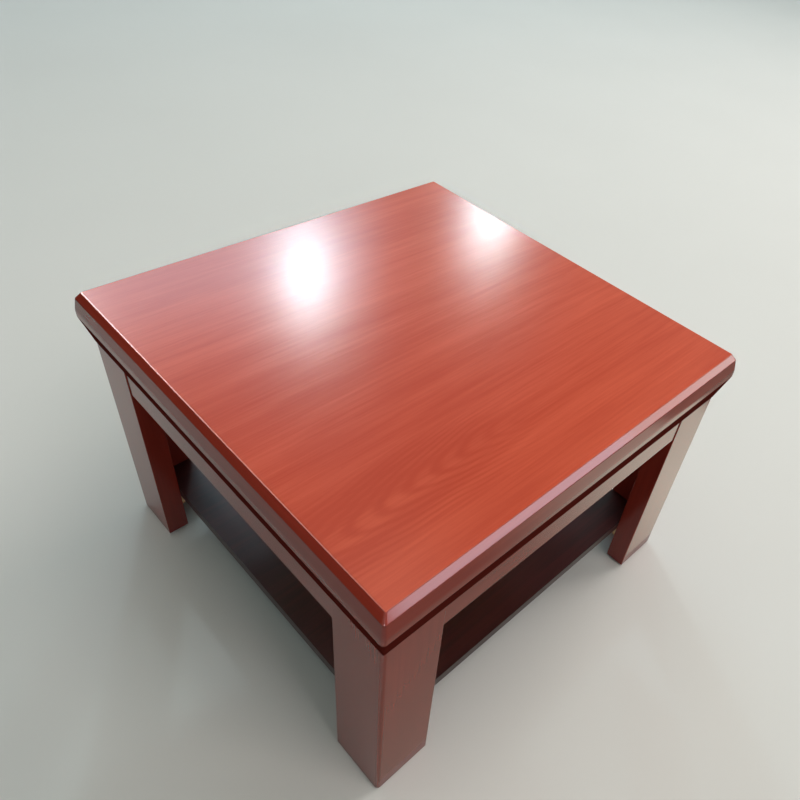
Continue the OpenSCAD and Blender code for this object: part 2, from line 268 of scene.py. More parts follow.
class Recipe(Bench):
    """A shape being made by Geometry Nodes, with named inputs for its sizes."""

    KINDS = {"size": "NodeSocketFloat", "count": "NodeSocketInt", "object": "NodeSocketObject",
             "material": "NodeSocketMaterial"}

    def __init__(self, name, inputs):
        super().__init__(bpy.data.node_groups.new(name, "GeometryNodeTree"))
        face = self.tree.interface
        face.new_socket("Geometry", in_out="OUTPUT", socket_type="NodeSocketGeometry")
        face.new_socket("Geometry", in_out="INPUT", socket_type="NodeSocketGeometry")
        for label, kind in inputs.items():
            face.new_socket(label, in_out="INPUT", socket_type=self.KINDS[kind])
        self.given = self.add("NodeGroupInput")

    def turned(self, rings, sides):
        """A solid turned about Z through rings, each a radius and a height."""
        count = len(rings)
        stock = self.add(
            "GeometryNodeMeshCylinder",
            {"fill_type": "NGON"},
            {"Vertices": sides, "Side Segments": count - 1, "Radius": 1.0, "Depth": 1.0},
        )
        parts = self.add("ShaderNodeSeparateXYZ", sockets={0: self.add("GeometryNodeInputPosition")})
        ring = ((parts.out("Z") + 0.5) * (count - 1)).math("ROUND")
        radius, height = (
            self.add(
                "GeometryNodeIndexSwitch",
                {"data_type": "FLOAT", "choices": count},
                {0: ring, **{i + 1: pair[part] for i, pair in enumerate(rings)}},
            )
            for part in (0, 1)
        )
        return self.moved(stock, parts.out("X") * radius, parts.out("Y") * radius, height)

    def moved(self, geometry, x, y, z):
        """The geometry with each of its points taken to another place."""
        point = self.add("ShaderNodeCombineXYZ", sockets={0: x, 1: y, 2: z})
        return self.add("GeometryNodeSetPosition", sockets={"Geometry": geometry, "Position": point})

    def cut(self, solid, *cutters):
        """The solid less the cutters."""
        boolean = self.add(
            "GeometryNodeMeshBoolean", {"operation": "DIFFERENCE", "solver": "EXACT"}, {"Mesh 1": solid}
        )
        for cutter in cutters:
            self.tree.links.new(cutter.socket, boolean.socket.node.inputs["Mesh 2"])
        return boolean

    def at_places(self, piece, seed):
        """A copy of the piece at each starting point, aimed as the point says, spun at random."""
        aim = self.add(
            "GeometryNodeInputNamedAttribute", {"data_type": "FLOAT_VECTOR"}, {"Name": "aim"}
        )
        aimed = self.add("FunctionNodeAlignRotationToVector", {"axis": "Z"}, {"Vector": aim})
        spin = self.add(
            "FunctionNodeRandomValue",
            {"data_type": "FLOAT"},
            {"Min": 0.0, "Max": 2 * math.pi, "Seed": seed},
            output=1,
        )
        spun = self.add("FunctionNodeAxisAngleToRotation", sockets={"Axis": UP, "Angle": spin})
        turn = self.add(
            "FunctionNodeRotateRotation",
            {"rotation_space": "LOCAL"},
            {"Rotation": aimed, "Rotate By": spun},
        )
        return self.add(
            "GeometryNodeInstanceOnPoints",
            sockets={"Points": self.given.out("Geometry"), "Instance": piece, "Rotation": turn},
        )

    def done(self, geometry):
        real = self.add("GeometryNodeRealizeInstances", sockets={"Geometry": geometry})
        painted = self.add(
            "GeometryNodeSetMaterial",
            sockets={"Geometry": real, "Material": self.given.out("Material")},
        )
        self.add("NodeGroupOutput", sockets={"Geometry": painted})
        return self


def made_by(recipe, name, start, **values):
    """Runs a recipe on a starting mesh and returns the result as a plain mesh piece."""
    start_object = bpy.data.objects.new(name + "_start", start)
    bpy.context.scene.collection.objects.link(start_object)
    modifier = start_object.modifiers.new("recipe", "NODES")
    modifier.node_group = recipe.tree
    labels = {label.lower().replace(" ", "_"): label for label in recipe.tree.interface.items_tree.keys()}
    for key, value in values.items():
        modifier[recipe.tree.interface.items_tree[labels[key]].identifier] = value
    scene_now = bpy.context.evaluated_depsgraph_get()
    mesh = bpy.data.meshes.new_from_object(start_object.evaluated_get(scene_now), depsgraph=scene_now)
    bpy.data.objects.remove(start_object)
    return as_piece(name, mesh)


def as_piece(name, mesh):
    piece = bpy.data.objects.new(name, mesh)
    mesh.name = name
    bpy.context.scene.collection.objects.link(piece)
    return piece


def fit_in(piece, slot, *replaced):
    """Puts a finished piece on the table's one body, in place of its solids."""
    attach(piece, "root")
    if replaced:
        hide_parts(*replaced)


def aimed_points(name, places):
    """Starting points of a recipe, each with the direction in which its copy points."""
    mesh = bpy.data.meshes.new(name)
    mesh.from_pydata([point for point, aim in places], [], [])
    aims = mesh.attributes.new("aim", "FLOAT_VECTOR", "POINT")
    aims.data.foreach_set("vector", [part for point, aim in places for part in aim])
    return mesh


def zinc_plate():
    finish = Finish("zinc_plate")
    place = finish.place()
    spangle = finish.noise(place, (900, 900, 900), detail=3, roughness=0.6)
    dulled = finish.noise(place, (160, 160, 160), detail=2)
    return finish.done(
        base_color=finish.blend(dulled, stain(0.80, 0.78, 0.72), stain(0.68, 0.65, 0.55)),
        metallic=1.0,
        roughness=0.26 + 0.22 * spangle,
        normal=finish.bump(spangle, 0.00002),
    )


def screw_recipe():
    recipe = Recipe(
        "countersunk_screws",
        {"Length": "size", "Shank Diameter": "size", "Head Diameter": "size", "Pitch": "size",
         "Thread Depth": "size", "Recess Length": "size", "Recess Width": "size",
         "Recess Depth": "size", "Seed": "count", "Material": "material"},
    )
    length = recipe.given.out("Length")
    shank_r = recipe.given.out("Shank Diameter") / 2
    turns = length / recipe.given.out("Pitch")
    rod = recipe.add(
        "GeometryNodeMeshCylinder",
        {"fill_type": "NGON"},
        {"Vertices": SCREW_SIDES, "Side Segments": turns * RINGS_PER_TURN, "Radius": 1.0, "Depth": 1.0},
    )
    parts = recipe.add("ShaderNodeSeparateXYZ", sockets={0: recipe.add("GeometryNodeInputPosition")})
    height = (parts.out("Z") + 0.5) * length
    angle = parts.out("Y").math("ARCTAN2", parts.out("X"))
    wave = ((parts.out("Z") + 0.5) * turns * (2 * math.pi) - angle).math("COSINE")
    thread = shank_r - recipe.given.out("Thread Depth") * (0.5 - 0.5 * wave)
    head = recipe.given.out("Head Diameter") / 2 - height
    tip = (length - height) * TIP_TAPER + TIP_R
    radius = thread.math("MAXIMUM", head).math("MINIMUM", tip)
    screw = recipe.moved(rod, parts.out("X") * radius, parts.out("Y") * radius, height)
    long = recipe.given.out("Recess Length")
    wide = recipe.given.out("Recess Width")
    deep = recipe.given.out("Recess Depth") * 2
    slots = [
        recipe.add(
            "GeometryNodeMeshCube",
            sockets={"Size": recipe.add("ShaderNodeCombineXYZ", sockets={0: x, 1: y, 2: deep})},
        )
        for x, y in ((long, wide), (wide, long))
    ]
    return recipe.done(recipe.at_places(recipe.cut(screw, *slots), recipe.given.out("Seed")))


zinc = zinc_plate()
screws = screw_recipe()


def smooth_by_angle(piece, degrees):
    """Shades a mesh round, save at edges that turn by more than that angle."""
    piece.data.shade_smooth()
    piece.data.set_sharp_from_angle(angle=math.radians(degrees))


def drive_screws(node, length, places, seed):
    """One piece with all the screws of a node."""
    piece = made_by(
        screws, "turned_" + node, aimed_points(node + "_heads", places),
        length=length, shank_diameter=SHANK_D, head_diameter=HEAD_D, pitch=THREAD_PITCH,
        thread_depth=THREAD_DEPTH, recess_length=RECESS_L, recess_width=RECESS_W,
        recess_depth=RECESS_DEPTH, seed=seed, material=zinc,
    )
    smooth_by_angle(piece, 50)
    fit_in(piece, "zinc", node)


def upright_length(node):
    low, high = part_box(node)
    return high.z - low.z


batten_low, batten_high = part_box("batten_rear")
batten_y = (batten_low.y + batten_high.y) / 2
drive_screws(
    "batten_screws",
    upright_length("batten_screws"),
    [
        ((step * BATTEN_SCREW_STEP, along * batten_y, batten_low.z), UP)
        for along in (-1, 1)
        for step in (-1, 0, 1)
    ],
    seed=3,
)

# Face veneer of the top
# Flat-cut veneer, stained orange-red under clear lacquer that is rubbed to a soft gloss. The
# grain runs along X in soft streaks, with a faint flame of figure near the front left. It is
# laid close against the moulding, and one coat of lacquer hides the line between them.

FIGURE_Y = -0.235
FIGURE_TILT = 0.12
FIGURE_END_X = 0.10
FIGURE_FADE_X = 0.02
RINGS_PER_METRE = 190
VENEER_GROWTH = 0.0001


def face_veneer():
    finish = Finish("face_veneer")
    place = finish.place()
    parts = finish.add("ShaderNodeSeparateXYZ", sockets={"Vector": place})
    drift = finish.noise(place, (2.2, 4, 1), detail=2) - 0.5
    ripple = finish.noise(place, (6, 30, 1), detail=3, roughness=0.6) - 0.5
    across = parts.out("Y") - FIGURE_Y + drift * 0.06
    depth = (FIGURE_END_X - parts.out("X")) * FIGURE_TILT
    reach = (across * across + depth * depth) ** 0.5 + ripple * 0.004
    rings = (reach * (RINGS_PER_METRE * 2 * math.pi)).math("SINE") * 0.5 + 0.5
    clouds = finish.noise(place, (1.6, 9, 1), detail=3, roughness=0.55)
    streaks = finish.noise(place, (3.5, 58, 1), detail=4, roughness=0.55)
    lines = finish.noise(place, (10, 330, 1), detail=3, roughness=0.5)
    pores = finish.within(finish.noise(place, (75, 2300, 1), detail=2), 0.60, 0.70)
    near_flame = 1 - finish.within(across.math("ABSOLUTE"), 0.03, 0.075)
    left_part = 1 - finish.within(parts.out("X"), FIGURE_FADE_X - 0.2, FIGURE_FADE_X)
    figure = rings ** 2 * near_flame * left_part
    tone = clouds * 0.42 + streaks * 0.38 + lines * 0.34 - figure * 0.16
    wood = finish.blend(
        finish.within(tone, 0.36, 0.86), stain(0.70, 0.25, 0.155), stain(0.80, 0.34, 0.225)
    )
    shaded = finish.blend(pores * 0.10, wood, stain(0.45, 0.12, 0.07))
    return finish.done(
        base_color=shaded,
        roughness=0.222 + 0.02 * streaks,
        normal=finish.bump(lines, 0.000006),
        ior=1.5,
    )


def block_mesh(name, low, high):
    """A plain box between two corners."""
    shape = bmesh.new()
    bmesh.ops.create_cube(shape, size=1.0)
    for vertex in shape.verts:
        share = vertex.co + Vector((0.5, 0.5, 0.5))
        vertex.co = [a + (b - a) * s for a, b, s in zip(low, high, share)]
    mesh = bpy.data.meshes.new(name)
    shape.to_mesh(mesh)
    shape.free()
    return mesh


veneer = face_veneer()
sheet_low, sheet_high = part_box("top_veneer")
growth = Vector((VENEER_GROWTH, VENEER_GROWTH, 0))
sheet = as_piece("veneer_sheet", block_mesh("veneer_sheet", sheet_low - growth, sheet_high + growth))
sheet.data.materials.append(veneer)
fit_in(sheet, "top_veneer", "top_veneer")

# Edge moulding
# Four moulded bars, mitred and lacquered dark red after gluing up. Under a small arris a steep
# shoulder, in a lighter lacquer as painted light from above, runs into the upright face. The
# undercut below it is a deeper, matt red as painted shade, so that it reads as a shadow line.

LIP = 0.0016
EDGE_OUT = 0.012
EDGE_INNER = 0.035
SHOULDER_W = 0.0082
SHOULDER_H = 0.0103
UNDERCUT_H = 0.046
WIDEST_H = 0.057
ARRIS_R = 0.003
CREASE_R = 0.005
WIDEST_R = 0.040
UNDERCUT_R = 0.012
CORNER_TOP_R = 0.002
CORNER_FACE_R = 0.0055
ARC_STEP = math.radians(5)
CORNER_STEPS = 9
JOIN = 1e-6
VENEER_TILT = math.cos(math.radians(40))
SHOULDER_TILT = math.cos(math.radians(62))
UNDERCUT_TILT = -math.sin(math.radians(7))
ON_OUTLINE = 0.99
OUTLINE_DATA = ("out", "height", "lean_out", "lean_up", "covered", "station", "facing")

edge_low, edge_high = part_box("edge_front")
EDGE_H = edge_high.z - edge_low.z
HALF_TOP = -edge_low.y - EDGE_OUT
REBATE_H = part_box("balancing_veneer")[0].z - edge_low.z


def rounded(before, corner, after, radius):
    """The arc that rounds a corner of an outline, as points with their outward normals."""
    back = (before - corner).normalized()
    on = (after - corner).normalized()
    half = back.angle(on) / 2
    reach = min(radius / math.tan(half), (before - corner).length / 2, (after - corner).length / 2)
    middle = corner + (back + on).normalized() * reach / math.cos(half)
    steps = math.ceil((math.pi - 2 * half) / ARC_STEP)
    arc = []
    for step in range(steps + 1):
        chord = corner + (back * (steps - step) + on * step) * reach / steps
        normal = (chord - middle).normalized()
        arc.append((middle + normal * reach * math.tan(half), normal))
    return arc


def moulding_face():
    """The moulding's lacquered outline, from the lip down to the bottom."""
    corners = [
        Vector((-2 * LIP, EDGE_H)),
        Vector((0, EDGE_H)),
        Vector((SHOULDER_W, EDGE_H - SHOULDER_H)),
        Vector((EDGE_OUT, WIDEST_H)),
        Vector((EDGE_OUT, UNDERCUT_H)),
        Vector((0, 0)),
    ]
    radii = [ARRIS_R, CREASE_R, WIDEST_R, UNDERCUT_R]
    face = [(Vector((-LIP, EDGE_H)), Vector((0, 1)))]
    for i, radius in enumerate(radii):
        face += rounded(corners[i], corners[i + 1], corners[i + 2], radius)
    return face + [(Vector((0, 0)), Vector((UNDERCUT_H, -EDGE_OUT)).normalized())]


def moulding_section():
    """A closed outline with, at each point, its normal and whether lacquer covers it."""
    face = moulding_face()
    hidden = [Vector((-EDGE_INNER, 0)), Vector((-EDGE_INNER, REBATE_H)), Vector((-LIP, REBATE_H))]
    points = [point for point, normal in face] + hidden
    leans = [normal for point, normal in face] + [Vector((0, 0))] * len(hidden)
    covered = [1.0] * len(face) + [0.0] * len(hidden)
    mesh = bpy.data.meshes.new("moulding_section")
    edges = [(i, (i + 1) % len(points)) for i in range(len(points))]
    mesh.from_pydata([(p.x, p.y, 0) for p in points], edges, [])
    mesh.attributes.new("out", "FLOAT", "POINT").data.foreach_set("value", [p.x for p in points])
    mesh.attributes.new("height", "FLOAT", "POINT").data.foreach_set("value", [p.y for p in points])
    mesh.attributes.new("lean_out", "FLOAT", "POINT").data.foreach_set("value", [n.x for n in leans])
    mesh.attributes.new("lean_up", "FLOAT", "POINT").data.foreach_set("value", [n.y for n in leans])
    mesh.attributes.new("covered", "FLOAT", "POINT").data.foreach_set("value", covered)
    return mesh


def moulding_recipe():
    """Runs the section round from mitre to mitre. Its corner radius grows with its stand-out."""
    recipe = Recipe(
        "mitred_moulding",
        {"Half Top": "size", "Bottom": "size", "Stand Out": "size", "Corner Radius Top": "size",
         "Corner Radius Face": "size", "Corner Steps": "count", "Side Turn": "size",
         "Biscuits": "object", "Material": "material"},
    )
    given = recipe.given.out

    def value(name):
        return recipe.add("GeometryNodeInputNamedAttribute", {"data_type": "FLOAT"}, {"Name": name})

    def around(x, y, z):
        point = recipe.add("ShaderNodeCombineXYZ", sockets={0: x, 1: y, 2: z})
        return recipe.add(
            "ShaderNodeVectorRotate",
            {"rotation_type": "Z_AXIS"},
            {"Vector": point, "Angle": given("Side Turn")},
        )

    section = recipe.add("GeometryNodeMeshToCurve", sockets={"Mesh": given("Geometry")})
    line = recipe.add("GeometryNodeCurvePrimitiveLine", sockets={"End": UP})
    route = recipe.add(
        "GeometryNodeResampleCurve",
        sockets={"Curve": line, "Count": given("Corner Steps") * 2 + 2},
    )
    numbered = recipe.add(
        "GeometryNodeStoreNamedAttribute",
        {"data_type": "FLOAT"},
        {"Geometry": route, "Name": "station", "Value": recipe.add("GeometryNodeInputIndex")},
    )
    bar = recipe.add(
        "GeometryNodeCurveToMesh",
        sockets={"Curve": numbered, "Profile Curve": section, "Fill Caps": True},
    )
    steps = given("Corner Steps") * 1.0
    from_middle = value("station") - (steps + 0.5)
    end = from_middle.math("SIGN")
    turn = (from_middle.math("ABSOLUTE") - 0.5) / steps * (math.pi / 4)
    sine = turn.math("SINE")
    cosine = turn.math("COSINE")
    out = value("out")
    growth = (given("Corner Radius Face") - given("Corner Radius Top")) / given("Stand Out")
    radius = (given("Corner Radius Top") + growth * out.math("MAXIMUM", 0.0)) * value("covered")
    centre = given("Half Top") + out - radius
    place = around(
        end * (centre + radius * sine),
        (centre + radius * cosine) * -1.0,
        given("Bottom") + value("height"),
    )
    widening = growth * out.math("GREATER_THAN", 0.0)
    climb = (1 - widening) * (sine + cosine) + widening
    facing = around(
        end * sine * value("lean_out"), cosine * value("lean_out") * -1.0, climb * value("lean_up")
    )
    shaped = recipe.add("GeometryNodeSetPosition", sockets={"Geometry": bar, "Position": place})
    marked = recipe.add(
        "GeometryNodeStoreNamedAttribute",
        {"data_type": "FLOAT_VECTOR"},
        {"Geometry": shaped, "Name": "facing", "Value": facing},
    )
    whole = recipe.add(
        "GeometryNodeMergeByDistance", sockets={"Geometry": marked, "Distance": JOIN}
    )
    slots = recipe.add("GeometryNodeObjectInfo", sockets={"Object": given("Biscuits")}, output="Geometry")
    return recipe.done(recipe.cut(whole, slots))


def merged_copy(node):
    """A copy of a solid's mesh with its loose triangles joined up."""
    mesh = nodes[node].data.copy()
    shape = bmesh.new()
    shape.from_mesh(mesh)
    bmesh.ops.remove_doubles(shape, verts=shape.verts, dist=JOIN)
    shape.to_mesh(mesh)
    shape.free()
    return mesh


def red_lacquer(name, along, dark, light):
    """Red stain and clear lacquer over wood whose grain runs along that axis."""
    finish = Finish(f"{name}_{along.lower()}")
    place = finish.place(along)
    streaks = finish.noise(place, (5, 150, 150), detail=4, roughness=0.6)
    clouds = finish.noise(place, (4, 11, 11), detail=2)
    peel = finish.noise(place, (240, 240, 240), detail=1)
    tone = finish.within(streaks * 0.5 + clouds * 0.6, 0.36, 0.80)
    return finish.done(
        base_color=finish.blend(tone, stain(*dark), stain(*light)),
        roughness=0.11 + 0.03 * clouds,
        normal=finish.bump(peel, 0.000006),
        ior=1.46,
    )


# Painted shade: a darker matt red for the undercut, for the shade under the moulding.
def shadow_tone():
    finish = Finish("shadow_tone")
    place = finish.place()
    mist = finish.noise(place, (900, 900, 900), detail=2)
    clouds = finish.noise(place, (9, 9, 9), detail=2)
    return finish.done(
        base_color=finish.blend(clouds, stain(0.27, 0.09, 0.07), stain(0.33, 0.11, 0.09)),
        roughness=0.85 - 0.1 * mist,
        normal=finish.bump(mist, 0.00001),
        specular_ior_level=0.0,
    )


lacquer = {
    axis: red_lacquer("red_lacquer", axis, (0.45, 0.145, 0.105), (0.51, 0.17, 0.125)) for axis in "XYZ"
}
# Painted light: a lighter copy of the lacquer for the up-facing shoulder, for the light from above.
painted_light_shoulder = {
    axis: red_lacquer("rubbed_lacquer", axis, (0.56, 0.19, 0.135), (0.63, 0.22, 0.16)) for axis in "XY"
}
painted_shadow_line = shadow_tone()


def round_off(mesh, normal_at):
    """Sets the normal of every face corner: what normal_at gives there, or else the face's own."""
    mesh.shade_smooth()
    mesh.normals_split_custom_set(
        [
            normal_at(face, mesh.vertices[v].co, v) or face.normal
            for face in mesh.polygons
            for v in face.vertices
        ]
    )


def turn_outwards(mesh):
    """Points all the faces of a closed mesh outwards."""
    shape = bmesh.new()
    shape.from_mesh(mesh)
    bmesh.ops.recalc_face_normals(shape, faces=shape.faces)
    shape.to_mesh(mesh)
    shape.free()


def finish_at(tilt):
    """Which finish a face of the outline takes: 0 lacquer, 1 veneer, 2 painted light, 3 painted shade."""
    if tilt > VENEER_TILT:
        return 1
    if tilt > SHOULDER_TILT:
        return 2
    return 3 if tilt < UNDERCUT_TILT else 0


def lacquer_bar(mesh, axis):
    """Gives a bar its finishes and its true normals, and drops the data that shaped it."""
    facing = [Vector(item.vector) for item in mesh.attributes["facing"].data]
    covered = [item.value > ON_OUTLINE for item in mesh.attributes["covered"].data]

    def on_outline(face):
        return all(covered[v] for v in face.vertices)

    def moulded_normal(face, point, corner):
        return facing[corner].normalized() if on_outline(face) else None

    mesh.materials.clear()
    for material in (lacquer[axis], veneer, painted_light_shoulder[axis], painted_shadow_line):
        mesh.materials.append(material)
    for face in mesh.polygons:
        face.material_index = finish_at(face.normal.z) if on_outline(face) else 0
    round_off(mesh, moulded_normal)
    for name in OUTLINE_DATA:
        if name in mesh.attributes:
            mesh.attributes.remove(mesh.attributes[name])


moulding = moulding_recipe()
section_mesh = moulding_section()
biscuits = as_piece("biscuit_shapes", merged_copy("mitre_biscuits"))
for quarter, side in enumerate(("front", "right", "rear", "left")):
    axis = "XYXY"[quarter]
    bar = made_by(
        moulding, "moulding_" + side, section_mesh,
        half_top=HALF_TOP, bottom=edge_low.z, stand_out=EDGE_OUT, corner_radius_top=CORNER_TOP_R,
        corner_radius_face=CORNER_FACE_R, corner_steps=CORNER_STEPS,
        side_turn=quarter * math.pi / 2, biscuits=biscuits, material=lacquer[axis],
    )
    turn_outwards(bar.data)
    lacquer_bar(bar.data, axis)
    fit_in(bar, "red_lacquer", "edge_" + side)
bpy.data.objects.remove(biscuits)

# Biscuits and gussets of the moulding
# Pressed beech biscuits hold each mitre, two to a corner. Behind it a fibreboard gusset is
# glued into the corner, and takes the screw that holds the leg.

pressed_beech = raw_wood(
    "pressed_beech", "Z", (0.86, 0.71, 0.54), (0.72, 0.54, 0.38), rings=260, heart=(0.05, 0.04), pores=1.6
)
dress(["mitre_biscuits"], pressed_beech)
dress(["gusset_" + corner for corner in ("front_left", "front_right", "rear_left", "rear_right")],
      fibreboard)

# Legs
# Each leg is two boards, mitred and splined together at the outer corner, which is rounded
# over. The grain runs up the leg, and the lacquer is the moulding's.

LEG_CORNER_R = 0.006
EASE_R = 0.0012
ON_ROUND = 2e-5
ROUND_TILT = math.cos(math.radians(35))
CORNERS = [(across, along) for across in (-1, 1) for along in (-1, 1)]


def corner_name(across, along):
    return ("front" if along < 0 else "rear") + ("_left" if across < 0 else "_right")


def board(name, node, rounds, axis):
    """A lacquered copy of a solid whose long edges, at the given rounds, are truly round."""
    mesh = merged_copy(node)
    mesh.materials.clear()
    mesh.materials.append(lacquer["XYZ"[axis]])

    def edge_normal(face, point, corner):
        for centre, radius in rounds:
            spoke = point - centre
            spoke[axis] = 0
            if abs(spoke.length - radius) < ON_ROUND and spoke.normalized().dot(face.normal) > ROUND_TILT:
                return spoke.normalized()
        return None

    round_off(mesh, edge_normal)
    piece = as_piece(name, mesh)
    fit_in(piece, "red_lacquer", node)


for across, along in CORNERS:
    for part in ("face", "side"):
        node = f"leg_{corner_name(across, along)}_{part}"
        low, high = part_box(node)
        outer = Vector((across * HALF_TOP, along * HALF_TOP, 0))
        to_middle = Vector((-across, -along, 0))
        wide = Vector((1, 0, 0)) if part == "face" else Vector((0, 1, 0))
        thick = Vector((1, 1, 0)) - wide
        free = (high - low).dot(wide) - EASE_R
        depths = (EASE_R, (high - low).dot(thick) - EASE_R)
        rounds = [(outer + to_middle * LEG_CORNER_R, LEG_CORNER_R)]
        for depth in depths:
            inwards = wide * free + thick * depth
            rounds.append((outer + to_middle * inwards, EASE_R))
        board("lacquered_" + node, node, rounds, axis=2)

dress(["leg_splines"], pressed_beech)

# Aprons
# Four thin bars under the moulding, a little behind the legs' faces, with eased edges and the
# same lacquer. Two fluted beech dowels hold each end in a leg.

for side, axis in (("front", 0), ("right", 1), ("rear", 0), ("left", 1)):
    node = "apron_" + side
    low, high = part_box(node)
    rounds = []
    for z in (low.z + EASE_R, high.z - EASE_R):
        for inset in (low + Vector((EASE_R, EASE_R, 0)), high - Vector((EASE_R, EASE_R, 0))):
            rounds.append((Vector((inset.x, inset.y, z)), EASE_R))
    board("lacquered_" + node, node, rounds, axis)

dress(["apron_dowels"], pressed_beech)

# Corner blocks under the top
# Triangular softwood blocks in the legs' inner corners, with screws into both boards and one
# up into the gusset. The rings show on the sawn ends.

block_wood = raw_wood(
    "softwood_block", "Z", (0.85, 0.72, 0.52), (0.68, 0.49, 0.30), rings=300, heart=(0.12, 0.05)
)
dress(["block_" + corner_name(*corner) for corner in CORNERS], block_wood)

LEG_SCREW_L = 0.035
SCREW_IN = 0.045
SCREW_ALONG = 0.070
UPRIGHT_IN = 0.049


def in_corner(across, along, x, y, z):
    """A point given from a leg's outer corner, with x and y running inwards."""
    return Vector((across * (HALF_TOP - x), along * (HALF_TOP - y), z))


def leg_screw_places(z):
    """The heads of the screws into the legs' boards, at that height."""
    places = []
    for across, along in CORNERS:
        places.append((in_corner(across, along, SCREW_IN, SCREW_ALONG, z), Vector((across, 0, 0))))
        places.append((in_corner(across, along, SCREW_ALONG, SCREW_IN, z), Vector((0, along, 0))))
    return places


def upright_places(z):
    return [(in_corner(across, along, UPRIGHT_IN, UPRIGHT_IN, z), UP) for across, along in CORNERS]


def middle_z(node):
    low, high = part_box(node)
    return (low.z + high.z) / 2


block_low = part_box("block_front_left")[0]
drive_screws("block_screws", LEG_SCREW_L, leg_screw_places(middle_z("block_screws")), seed=7)
drive_screws("top_screws", upright_length("top_screws"), upright_places(block_low.z), seed=11)

# Shelf
# A fibreboard shelf, level between the legs, its lacquer painted dark burgundy as painted shade
# from the top above it. It lies on four small blocks, and a thin dark band covers each sawn edge.


# Painted shade: the shelf's red lacquer is made dark burgundy for the shade under the top.
def dark_lacquer():
    finish = Finish("dark_lacquer")
    place = finish.place()
    streaks = finish.noise(place, (5, 130, 130), detail=4, roughness=0.6)
    clouds = finish.noise(place, (4, 9, 9), detail=2)
    tone = finish.within(streaks * 0.6 + clouds * 0.5, 0.36, 0.80)
    return finish.done(
        base_color=finish.blend(tone, stain(0.17, 0.060, 0.060), stain(0.27, 0.090, 0.090)),
        roughness=0.26 + 0.10 * clouds,
        normal=finish.bump(streaks, 0.00001),
        specular_ior_level=0.5,
        coat_weight=0.6,
        coat_roughness=0.25,
        coat_ior=1.5,
    )


def dark_band():
    finish = Finish("dark_band")
    place = finish.place()
    peel = finish.noise(place, (700, 700, 700), detail=2)
    clouds = finish.noise(place, (30, 30, 90), detail=3)
    return finish.done(
        base_color=finish.blend(clouds, stain(0.13, 0.050, 0.050), stain(0.20, 0.080, 0.075)),
        roughness=0.34 + 0.10 * peel,
        normal=finish.bump(peel, 0.00002),
    )


dress(["shelf"], dark_lacquer())
dress(["shelf_band_" + side for side in ("front", "right", "rear", "left")], dark_band())
dress(["shelf_block_" + corner_name(*corner) for corner in CORNERS], block_wood)
shelf_block_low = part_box("shelf_block_front_left")[0]
drive_screws(
    "shelf_block_screws", LEG_SCREW_L, leg_screw_places(middle_z("shelf_block_screws")), seed=13
)
drive_screws("shelf_screws", upright_length("shelf_screws"), upright_places(shelf_block_low.z), seed=17)

# Glides and their nails
# Eight round black plastic pads, one under each board of a leg, with a bevelled rim. A zinc
# nail goes through the middle of each, its head sunk into the pad.

GLIDE_D = 0.022
GLIDE_T = 0.003
GLIDE_BEVEL = 0.0006
GLIDE_IN = 0.060
NAIL_D = 0.0022
NAIL_L = 0.018
NAIL_HEAD_D = 0.0054
NAIL_HEAD_T = 0.001
NAIL_SUNK = 0.0004
FIT = 0.0001
GLIDE_SIDES = 40
NAIL_SIDES = 20
LEG_T = 0.035


def glide_recipe():
    recipe = Recipe(
        "nailed_glides",
        {"Diameter": "size", "Thickness": "size", "Bevel": "size", "Recess Diameter": "size",
         "Recess Depth": "size", "Hole Diameter": "size", "Seed": "count", "Material": "material"},
    )
    given = recipe.given.out
    pad_r = given("Diameter") / 2
    top = given("Thickness")
    bevel = given("Bevel")
    soft = bevel * 0.3
    pad = recipe.turned(
        [(pad_r - bevel, 0.0), (pad_r - soft, bevel * 0.5), (pad_r, bevel * 1.2), (pad_r, top)],
        GLIDE_SIDES,
    )
    recess_r = given("Recess Diameter") / 2
    hole_r = given("Hole Diameter") / 2
    recess = recipe.turned([(recess_r, top * -1.0), (recess_r, given("Recess Depth"))], GLIDE_SIDES)
    hole = recipe.turned([(hole_r, top * -1.0), (hole_r, top * 2)], GLIDE_SIDES)
    return recipe.done(recipe.at_places(recipe.cut(pad, recess, hole), given("Seed")))


def nail_recipe():
    recipe = Recipe(
        "glide_nails",
        {"Diameter": "size", "Length": "size", "Head Diameter": "size", "Head Thickness": "size",
         "Seed": "count", "Material": "material"},
    )
    given = recipe.given.out
    shank_r = given("Diameter") / 2
    head_r = given("Head Diameter") / 2
    thick = given("Head Thickness")
    nail = recipe.turned(
        [(head_r * 0.55, 0.0), (head_r * 0.9, thick * 0.2), (head_r, thick * 0.6), (head_r, thick),
         (shank_r, thick * 1.02), (shank_r, given("Length") - shank_r * 2), (TIP_R, given("Length"))],
        NAIL_SIDES,
    )
    return recipe.done(recipe.at_places(nail, given("Seed")))


def black_plastic():
    finish = Finish("black_plastic")
    place = finish.place()
    scuffs = finish.noise(place, (300, 900, 300), detail=4, roughness=0.65)
    return finish.done(
        base_color=finish.blend(scuffs, stain(0.07, 0.07, 0.07), stain(0.16, 0.16, 0.16)),
        roughness=0.42 + 0.2 * scuffs,
        normal=finish.bump(scuffs, 0.00004),
    )


def glide_places(z):
    return [
        (in_corner(across, along, x, y, z), UP)
        for across, along in CORNERS
        for x, y in ((GLIDE_IN, LEG_T / 2), (LEG_T / 2, GLIDE_IN))
    ]


